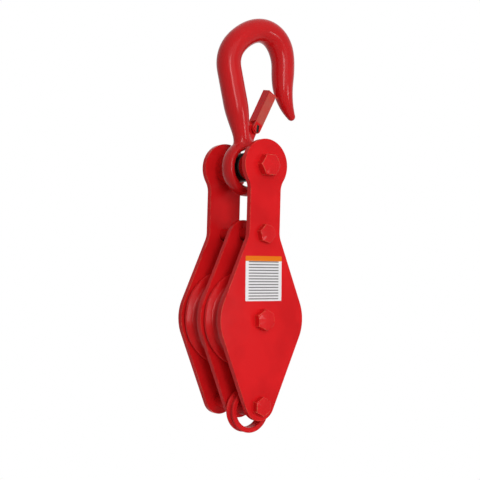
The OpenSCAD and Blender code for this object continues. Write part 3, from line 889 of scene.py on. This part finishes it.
def saw_cut(piece, size, turns, at):
    """Cuts a piece with a straight saw of the given size, turned about its axes, at a place."""
    bpy.ops.object.select_all(action="DESELECT")
    bpy.ops.mesh.primitive_cube_add(size=mm)
    saw = bpy.context.object
    bpy.ops.object.mode_set(mode="EDIT")
    bpy.ops.transform.resize(value=size, center_override=(0, 0, 0))
    for axis, turn in turns:
        bpy.ops.transform.rotate(value=turn, orient_axis=axis, center_override=(0, 0, 0))
    bpy.ops.transform.translate(value=Vector(at) * mm)
    bpy.ops.object.mode_set(mode="OBJECT")
    machine(piece, saw, "DIFFERENCE")


pin = turned("latch_pin_painted", pin_section, latch_pin_x, 0, latch_pin_z, steps=64)
saw_cut(
    pin,
    (pin_slot_w, 2 * pin_slot_depth, 2 * pin_head_d),
    [("Y", pin_slot_turn)],
    (latch_pin_x, head_front, latch_pin_z),
)
pin_paint = red_enamel("red enamel on small parts", 3.0, 0.03)
fit(pin, pin_paint, "hook", "red_paint", "latch_pin")
# Painted shade: the faces inside the head's slot take the dark steel finish.
pin.data.materials.append(oiled_steel_and_shade)
for face in pin.data.polygons:
    x, y, z = face.center / mm
    sunk, off = y - head_front, math.hypot(x - latch_pin_x, z - latch_pin_z)
    if slot_from < sunk < slot_to and off < slot_out:
        face.material_index = 1

# Latch: sheet steel folded to a channel, with two ears on the pin and a turned-down nose.
# The fold's outer corners are round and its cut edges barely eased. It is painted all over,
# and its front flange is painted paler in patches: a painted sheen.
latch_angle = math.radians(63.2)
latch_len = 48.0
latch_t = 1.5
latch_face = 4.8
latch_ear_r = 5.2
latch_edge_tip = -5.6
latch_edge_run = 41.0
latch_end_edge = -3.0
latch_nose_v = -9.5
latch_nose_half_w = 4.0
latch_fold_r = 1.3
latch_flange_cut = 2.6
latch_skew = 2.2
latch_edge_r = 0.3
flange_facing, fold_facing = 0.99, 0.1
web_foot = 8.0
spring_hole_d = 1.8
along = Vector((math.cos(latch_angle), 0, math.sin(latch_angle)))
towards_bowl = Vector((-math.sin(latch_angle), 0, math.cos(latch_angle)))
pin_at = Vector((latch_pin_x, 0, latch_pin_z))


def on_latch(u, v, y=0.0):
    """A place on the latch: u along it from the pin, v towards the bowl, y across."""
    return (pin_at + u * along + v * towards_bowl + Vector((0, y, 0))) * mm


def latch_u(point):
    """How far along the latch a place is."""
    return (Vector(point) / mm - pin_at).dot(along)


def latch_v(point):
    """How far towards the bowl a place is."""
    return (Vector(point) / mm - pin_at).dot(towards_bowl)


def choose(piece, kind, test):
    """Selects the edges or faces of a piece that pass a test, and leaves it in edit mode."""
    bpy.ops.object.mode_set(mode="EDIT")
    bpy.ops.mesh.select_mode(type=kind)
    bpy.ops.mesh.select_all(action="DESELECT")
    bpy.ops.object.mode_set(mode="OBJECT")
    for part in piece.data.edges if kind == "EDGE" else piece.data.polygons:
        part.select = test(part)
    bpy.ops.object.mode_set(mode="EDIT")


def ends(edge):
    """The two places that an edge of the latch joins."""
    return [latch.data.vertices[i].co for i in edge.vertices]


ear_foot = math.sqrt(latch_ear_r**2 - latch_face**2)
ear_turn = 270 - math.degrees(math.atan2(latch_face, ear_foot))
latch = draw(
    "latch_painted",
    [
        (0, -latch_ear_r),
        (latch_edge_run, latch_edge_tip),
        (latch_len - latch_flange_cut, latch_end_edge),
        (latch_len - latch_flange_cut, latch_face - latch_flange_cut),
        (latch_len, latch_face),
        (ear_foot, latch_face),
        (0, 0, ear_turn),
    ],
    lambda u, v: on_latch(u, v, -latch_w / 2),
    (0, 1, 0),
)
bpy.ops.mesh.edge_face_add()
bpy.ops.mesh.extrude_region_move(TRANSFORM_OT_translate={"value": (0, latch_w * mm, 0)})
bpy.ops.mesh.select_all(action="SELECT")
bpy.ops.mesh.normals_make_consistent(inside=False)
close = 0.05
choose(
    latch,
    "EDGE",
    lambda e: all(abs(latch_v(p) - latch_face) < close for p in ends(e))
    and abs(latch_u(ends(e)[0]) - latch_u(ends(e)[1])) > web_foot,
)
bpy.ops.mesh.bevel(offset=latch_fold_r * mm, segments=5, affect="EDGES")
bpy.ops.mesh.select_all(action="SELECT")
bpy.ops.mesh.bisect(plane_co=on_latch(web_foot, 0), plane_no=along)


def is_sheet(face):
    """True for the flanges, and for the web and its folds beyond the ears."""
    if abs(face.normal.y) > flange_facing:
        return True
    return face.normal.dot(towards_bowl) > fold_facing and latch_u(face.center) > web_foot


choose(latch, "FACE", lambda f: not is_sheet(f))
bpy.ops.mesh.delete(type="FACE")
end_from = latch_len - latch_flange_cut - close
front_to = (latch_fold_r - latch_w / 2 + close) * mm
choose(latch, "EDGE", lambda e: all(latch_u(p) > end_from and p.y < front_to for p in ends(e)))
bpy.ops.transform.translate(value=-latch_skew * along * mm)
nose_from = latch_len - latch_skew - close
choose(
    latch,
    "EDGE",
    lambda e: all(
        latch_u(p) > nose_from and abs(latch_v(p) - latch_face) < close for p in ends(e)
    ),
)
fall = (latch_nose_v - latch_face) * towards_bowl * mm
bpy.ops.mesh.extrude_region_move(TRANSFORM_OT_translate={"value": fall})
narrow = latch_nose_half_w / (latch_w / 2 - latch_fold_r)
bpy.ops.transform.resize(value=(1, narrow, 1), center_override=on_latch(latch_len, latch_nose_v))
bpy.ops.object.mode_set(mode="OBJECT")
work(latch, "SOLIDIFY", thickness=latch_t * mm, offset=-1.0, use_even_offset=True)
ease_edges(latch, latch_edge_r, 2)
drill(latch, latch_pin_x, 0, latch_pin_z, latch_pin_d + 2 * running_clear, 2 * latch_w)
spring_wire = 0.9
spring_pin_gap = 0.65
spring_r = latch_pin_d / 2 + spring_pin_gap + spring_wire / 2
spring_leg = 14.0
spring_bend_r = 1.6
hook_in = on_latch(spring_leg + spring_bend_r, -spring_r) / mm
drill(latch, hook_in.x, latch_w / 2, hook_in.z, spring_hole_d, latch_w)
sheet_paint = red_enamel("red enamel on folded sheet", 10.0, 0.05, 0.05)
# Painted sheen: the front flange above the ears is tinted paler in patches.
flange_sheen_red = "#B85046"
sheen_foot, sheen_full = 6.0, 7.5
sheen_front, sheen_back = 0.2 - latch_w / 2, 0.9 * latch_fold_r - latch_w / 2
sheen_patch_mm = 14.0
tree = sheet_paint.node_tree
place = add_node(tree, "ShaderNodeTexCoord").outputs["Object"]
from_pin = add_node(tree, "ShaderNodeVectorMath", {0: place, 1: pin_at * mm}, operation="SUBTRACT")
length = add_node(tree, "ShaderNodeVectorMath", {0: from_pin, 1: along}, operation="DOT_PRODUCT")
above_ear = add_node(
    tree,
    "ShaderNodeMapRange",
    {"Value": length, "From Min": sheen_foot * mm, "From Max": sheen_full * mm},
)
axes = add_node(tree, "ShaderNodeSeparateXYZ", {"Vector": place})
front = add_node(
    tree,
    "ShaderNodeMapRange",
    {
        "Value": axes.outputs["Y"],
        "From Min": sheen_front * mm,
        "From Max": sheen_back * mm,
        "To Min": 1.0,
        "To Max": 0.0,
    },
)
cloud = add_node(tree, "ShaderNodeTexNoise", {"Vector": place, "Scale": 1 / (sheen_patch_mm * mm)})
patch = add_node(
    tree, "ShaderNodeMapRange", {"Value": cloud, "From Min": 0.3, "From Max": 0.6, "To Min": 0.6}
)
flange = add_node(tree, "ShaderNodeMath", {0: above_ear, 1: front}, operation="MULTIPLY")
painted_light_mask = add_node(tree, "ShaderNodeMath", {0: flange, 1: patch}, operation="MULTIPLY")
tint_paint(sheet_paint, painted_light_mask, flange_sheen_red)
fit(latch, sheet_paint, "latch", "red_paint", "latch")

# Latch spring: painted steel wire wound round the pin, one leg on the shank, one in the latch.
# Its coil is one fixed shape here; on the real block it gives between hook and latch as the latch
# opens.
spring_pitch = 1.4
spring_lug_gap = 0.25
spring_y = lug_front + lug_t + spring_lug_gap + spring_wire / 2
shank_leg = Vector((-7.6, 12.4))
turn_start = math.atan2(shank_leg.y, shank_leg.x) + math.acos(spring_r / shank_leg.length)
turn_end = latch_angle - math.pi / 2 + 4 * math.pi
spring_turns = (turn_end - turn_start) / (2 * math.pi)
spring_end_y = spring_y + spring_pitch * spring_turns
spring_hook_out = 1.4
coil_steps = 56
bend_steps = 6
line = [Vector((shank_leg.x, spring_y, shank_leg.y)) + pin_at]
for i in range(coil_steps + 1):
    angle = mix(turn_start, turn_end, i / coil_steps)
    y = mix(spring_y, spring_end_y, i / coil_steps)
    line.append(pin_at + Vector((spring_r * math.cos(angle), y, spring_r * math.sin(angle))))
for i in range(bend_steps + 1):
    angle = math.pi / 2 * i / bend_steps
    u, y = spring_leg + spring_bend_r * math.sin(angle), spring_bend_r * (1 - math.cos(angle))
    line.append(on_latch(u, -spring_r, spring_end_y + y) / mm)
line.append(on_latch(spring_leg + spring_bend_r, -spring_r, latch_w / 2 + spring_hook_out) / mm)
spring = first_point("latch_spring_wound", line[0] * mm)
for before, after in zip(line, line[1:]):
    bpy.ops.mesh.extrude_region_move(TRANSFORM_OT_translate={"value": (after - before) * mm})
bpy.ops.object.mode_set(mode="OBJECT")
bpy.ops.object.convert(target="CURVE")
spring.data.bevel_depth = spring_wire / 2 * mm
spring.data.bevel_resolution = 3
spring.data.use_fill_caps = True
bpy.ops.object.convert(target="MESH")
paint(spring, pin_paint)
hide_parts("latch_spring")
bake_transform(spring)

# Bolts, nuts and spring washers: forged hexagon bolts, tightened and painted over with the frame.
# Paint softens their corners; the ends of the threads stand out behind the nuts.
washer_t = 2.5
head_rise = 0.63
nut_rise = 1.0
thread_show = 3.0
hex_face = 0.96
hex_edge_r = 0.55
thread_depth = 0.6
thread_root = 0.1
end_chamfer = 0.1
head_sunk = 1.0
washer_wide = 1.75
washer_edge_r = 0.35
split_gap = 1.2
split_reach, split_run = 0.7, 0.8
split_turn = math.radians(35)
split_slant = math.radians(25)
# Their edges keep a stronger pale line: thin paint, and a painted highlight.
bolt_paint = red_enamel("red enamel on bolts", 5.0, 0.06, 0.1, edge_turn=0.97)


def hexagon(name, across, y, rise, z, turn, both):
    """A hexagon from y towards the rear, its front or both faces chamfered as on a lathe."""
    corner_r = across / 2 / math.cos(math.pi / 6)
    flat_r = across / 2 * hex_face
    drop = (corner_r - flat_r) * math.tan(math.pi / 6)
    spare = 1.0
    bpy.ops.object.select_all(action="DESELECT")
    bpy.ops.mesh.primitive_cylinder_add(
        vertices=6,
        radius=corner_r * mm,
        depth=(rise + 2 * spare) * mm,
        location=Vector((block_x, y + rise / 2, z)) * mm,
        rotation=(math.pi / 2, 0, 0),
    )
    piece = bpy.context.object
    piece.name = name
    piece.data.name = name
    bpy.ops.object.transform_apply(location=True, rotation=True, scale=True)
    bpy.ops.object.mode_set(mode="EDIT")
    bpy.ops.transform.rotate(
        value=math.pi / 6 - math.radians(turn),
        orient_axis="Y",
        center_override=Vector((block_x, y, z)) * mm,
    )
    bpy.ops.object.mode_set(mode="OBJECT")
    back = [(flat_r, rise)] if both else [(corner_r + spare, rise)]
    side = [(corner_r + spare / 10, drop), (corner_r + spare / 10, rise - drop)]
    if not both:
        side = [(corner_r + spare / 10, drop), (corner_r + spare, drop + spare / 10)]
    form = [(0, 0), (flat_r, 0)] + side + back + [(0, rise)]
    machine(piece, turned("chamfer", form, block_x, y, z), "INTERSECT")
    return piece


for name, z, d, across, turn, pitch in (
    ("hook", hook_bolt_z, hook_d, 21.0, 0.0, 2.0),
    ("tie", tie_z, tie_d, 17.5, 14.0, 1.5),
    ("axle", axle_z, axle_d, 19.5, 24.0, 1.75),
    ("becket", becket_z, tie_d, 17.5, 28.0, 1.5),
):
    rise, bore = head_rise * d, d + 2 * bolt_clear
    bolt = hexagon(f"{name}_bolt_painted", across, -cheek_out - rise, rise, z, turn, False)
    ease_edges(bolt, hex_edge_r)
    nut_end = 2 * cheek_out + washer_t + nut_rise * d
    end = nut_end + thread_show
    root, crest = d / 2 - thread_depth * pitch, d / 2
    shank = [(0, -head_sunk), (crest, -head_sunk), (crest, nut_end - pitch)]
    for i in range(int(thread_show // pitch) + 1):
        at, mid = nut_end + i * pitch, nut_end + (i - 0.5) * pitch
        half_root = thread_root / 2 * pitch
        shank += [(root, mid - half_root), (root, mid + half_root), (crest, at)]
    shank += [(crest - end_chamfer * d, end), (0, end)]
    machine(bolt, turned("shank", shank, block_x, -cheek_out, z), "UNION")
    fit(bolt, bolt_paint, "frame", "red_paint", f"{name}_bolt")
    nut_y = cheek_out + washer_t
    nut = hexagon(f"{name}_nut_painted", across, nut_y, nut_rise * d, z, turn, True)
    drill(nut, block_x, nut_y, z, bore, 4 * d)
    ease_edges(nut, hex_edge_r)
    fit(nut, bolt_paint, "frame", "red_paint", f"{name}_nut")
    washer = tube(
        f"{name}_lock_washer_painted", washer_wide * d, bore, cheek_out, washer_t, z, washer_edge_r
    )
    reach = split_reach * d
    saw_cut(
        washer,
        (split_run * d, 3 * washer_t, split_gap),
        [("X", split_slant), ("Y", -split_turn)],
        (
            block_x + reach * math.cos(split_turn),
            cheek_out + washer_t / 2,
            z - reach * math.sin(split_turn),
        ),
    )
    fit(washer, bolt_paint, "frame", "red_paint", f"{name}_lock_washer")

# Blank label: a white vinyl sticker with an orange band and ruled lines to write on, left empty.
# It is stuck a little askew to the front plate above the axle bolt; its corners are round.
label_left, label_right = -35.2, 11.2
label_low, label_high = -274.4, -228.5
label_half_w = (label_right - label_left) / 2
label_half_h = (label_high - label_low) / 2
label_centre = Vector((label_left + label_half_w, 0, label_low + label_half_h)) * mm
label_askew = math.radians(1.2)
label_r = 1.2
label_t = 0.14
left, right = label_left + label_r, label_right - label_r
low, high = label_low + label_r, label_high - label_r
label = slab(
    "blank_label",
    [
        (left, label_low),
        (right, label_low),
        (right, low, 90),
        (label_right, high),
        (right, high, 90),
        (left, label_high),
        (left, high, 90),
        (label_left, low),
        (left, low, 90),
    ],
    -cheek_out - label_t,
    label_t,
)
activate(label)
bpy.ops.object.mode_set(mode="EDIT")
bpy.ops.mesh.select_all(action="SELECT")
bpy.ops.transform.rotate(value=label_askew, orient_axis="Y", center_override=label_centre)
bpy.ops.object.mode_set(mode="OBJECT")
vinyl_white = "#E4E2E3"
band_orange = "#E07302"
rule_grey = "#737072"
band_high = 5.2
rule_pitch = 2.9
rule_high = 1.2
rule_margin = 4.0
vinyl_grain_mm, vinyl_grain_depth, vinyl_shine = 3.0, 0.02, 0.1
# The vinyl is smooth with a faint grain and little shine, so its print looks flat and even.
material, tree, output, place = new_finish("white printed vinyl")
print_place = add_node(
    tree,
    "ShaderNodeMapping",
    {"Vector": place, "Location": label_centre, "Rotation": (0, -label_askew, 0)},
    vector_type="TEXTURE",
)
axes = add_node(tree, "ShaderNodeSeparateXYZ", {"Vector": print_place})
band = add_node(
    tree,
    "ShaderNodeMath",
    {0: axes.outputs["Z"], 1: (label_half_h - band_high) * mm},
    operation="GREATER_THAN",
)
rise = add_node(tree, "ShaderNodeMath", {0: axes.outputs["Z"], 1: label_half_h * mm})
row = add_node(tree, "ShaderNodeMath", {0: rise, 1: rule_pitch * mm}, operation="MODULO")
rule = add_node(
    tree, "ShaderNodeMath", {0: row, 1: (rule_pitch - rule_high) * mm}, operation="GREATER_THAN"
)
off = add_node(tree, "ShaderNodeMath", {0: axes.outputs["X"]}, operation="ABSOLUTE")
within = add_node(
    tree, "ShaderNodeMath", {0: off, 1: (label_half_w - rule_margin) * mm}, operation="LESS_THAN"
)
ruled = add_node(tree, "ShaderNodeMath", {0: rule, 1: within}, operation="MULTIPLY")
sheet = add_node(
    tree,
    "ShaderNodeMix",
    {"Factor": ruled, "A": linear(vinyl_white), "B": linear(rule_grey)},
    data_type="RGBA",
)
print_on = add_node(
    tree, "ShaderNodeMix", {"Factor": band, "A": sheet, "B": linear(band_orange)}, data_type="RGBA"
)
grain = add_node(
    tree, "ShaderNodeTexNoise", {"Vector": place, "Scale": 1 / (vinyl_grain_mm * mm), "Detail": 3.0}
)
gloss = add_node(tree, "ShaderNodeMapRange", {"Value": grain, "To Min": 0.28, "To Max": 0.42})
ripple = add_node(tree, "ShaderNodeBump", {"Height": grain, "Distance": vinyl_grain_depth * mm})
vinyl = add_node(
    tree,
    "ShaderNodeBsdfPrincipled",
    {
        "Base Color": print_on,
        "Roughness": gloss,
        "Normal": ripple,
        "Specular IOR Level": vinyl_shine,
    },
)
tree.links.new(vinyl.outputs["BSDF"], output.inputs["Surface"])
fit(label, material, "frame", "red_paint")

# Floor, light and camera: a pale studio floor far below the hanging block, fading out at its rim,
# soft lamps in front, and a room that looks white and is brightest behind the block.
floor_z = -1000.0
floor_size = 2600.0
floor_clear = 500.0
floor_cloud_mm = 1000.0 / 3
floor_white = "#F1F1EF"
bpy.ops.object.select_all(action="DESELECT")
bpy.ops.mesh.primitive_plane_add(size=floor_size * mm, location=(0, 0, floor_z * mm))
floor = bpy.context.object
floor.name = "studio_floor"
material, tree, output, place = new_finish("pale studio floor")
tone = add_node(tree, "ShaderNodeTexNoise", {"Vector": place, "Scale": 1 / (floor_cloud_mm * mm)})
shade = add_node(tree, "ShaderNodeMapRange", {"Value": tone, "To Min": 0.85, "To Max": 0.95})
matt = add_node(
    tree, "ShaderNodeBsdfPrincipled", {"Base Color": linear(floor_white), "Roughness": shade}
)
reach = add_node(tree, "ShaderNodeVectorMath", {0: place}, operation="LENGTH")
fade = add_node(
    tree,
    "ShaderNodeMapRange",
    {"Value": reach, "From Min": floor_clear * mm, "From Max": floor_size / 2 * mm},
)
clear = add_node(tree, "ShaderNodeBsdfTransparent")
blend = add_node(tree, "ShaderNodeMixShader", {0: fade, 1: matt, 2: clear})
tree.links.new(blend.outputs["Shader"], output.inputs["Surface"])
floor.data.materials.append(material)

room_low, room_high = 0.0, 0.6
room_white = "#FFFFFF"
backdrop = Vector((0.45, 0.6, 0.65)).normalized()
world = bpy.data.worlds.new("white room")
bpy.context.scene.world = world
world.use_nodes = True
tree = world.node_tree
tree.nodes.clear()
output = add_node(tree, "ShaderNodeOutputWorld")
path = add_node(tree, "ShaderNodeLightPath")
mirrored = add_node(
    tree,
    "ShaderNodeMath",
    {0: path.outputs["Is Glossy Ray"], 1: path.outputs["Is Transmission Ray"]},
    operation="MAXIMUM",
)
seen = add_node(
    tree, "ShaderNodeMath", {0: path.outputs["Is Camera Ray"], 1: mirrored}, operation="MAXIMUM"
)
towards = add_node(tree, "ShaderNodeTexCoord").outputs["Generated"]
facing = add_node(tree, "ShaderNodeVectorMath", {0: towards, 1: backdrop}, operation="DOT_PRODUCT")
wall = add_node(
    tree,
    "ShaderNodeMapRange",
    {"Value": facing, "From Min": -1.0, "To Min": room_low, "To Max": room_high},
)
light = add_node(tree, "ShaderNodeBackground", {"Color": linear(room_white), "Strength": wall})
white = add_node(tree, "ShaderNodeBackground", {"Color": linear(room_white), "Strength": 1.0})
room = add_node(tree, "ShaderNodeMixShader", {0: seen, 1: light, 2: white})
tree.links.new(room.outputs["Shader"], output.inputs["Surface"])

aim = Vector((-0.012, 0.0, -0.2))
for name, azimuth, elevation, distance, wide, high, power in (
    ("front_panel", -14, 18, 2.0, 2.2, 1.8, 16.0),
    ("key_softbox", -24, 6, 1.6, 0.3, 0.95, 10.5),
    ("fill_window", 25, -3, 1.6, 0.36, 0.26, 3.5),
):
    turn, rise = math.radians(azimuth), math.radians(elevation)
    bearing = Vector(
        (math.sin(turn) * math.cos(rise), -math.cos(turn) * math.cos(rise), math.sin(rise))
    )
    bpy.ops.object.light_add(type="AREA", location=aim + distance * bearing)
    lamp = bpy.context.object
    lamp.name = name
    lamp.data.shape = "RECTANGLE"
    lamp.data.size = wide
    lamp.data.size_y = high
    lamp.data.energy = power
    lamp.rotation_euler = bearing.to_track_quat("Z", "Y").to_euler()

camera_place = Vector((-0.7342, -0.9710, -0.2581))
camera_aim = Vector((-0.0140, 0.0015, -0.2115))
camera_roll = math.radians(1.56)
camera_lens, camera_sensor = 86.5, 36.0
bpy.ops.object.camera_add(location=camera_place)
camera = bpy.context.object
camera.data.lens = camera_lens
camera.data.sensor_width = camera_sensor
camera.rotation_mode = "QUATERNION"
camera.rotation_quaternion = (camera_aim - camera_place).to_track_quat("-Z", "Y") @ Quaternion(
    (0, 0, 1), camera_roll
)
bpy.context.scene.camera = camera
bpy.context.scene.view_settings.view_transform = "Standard"
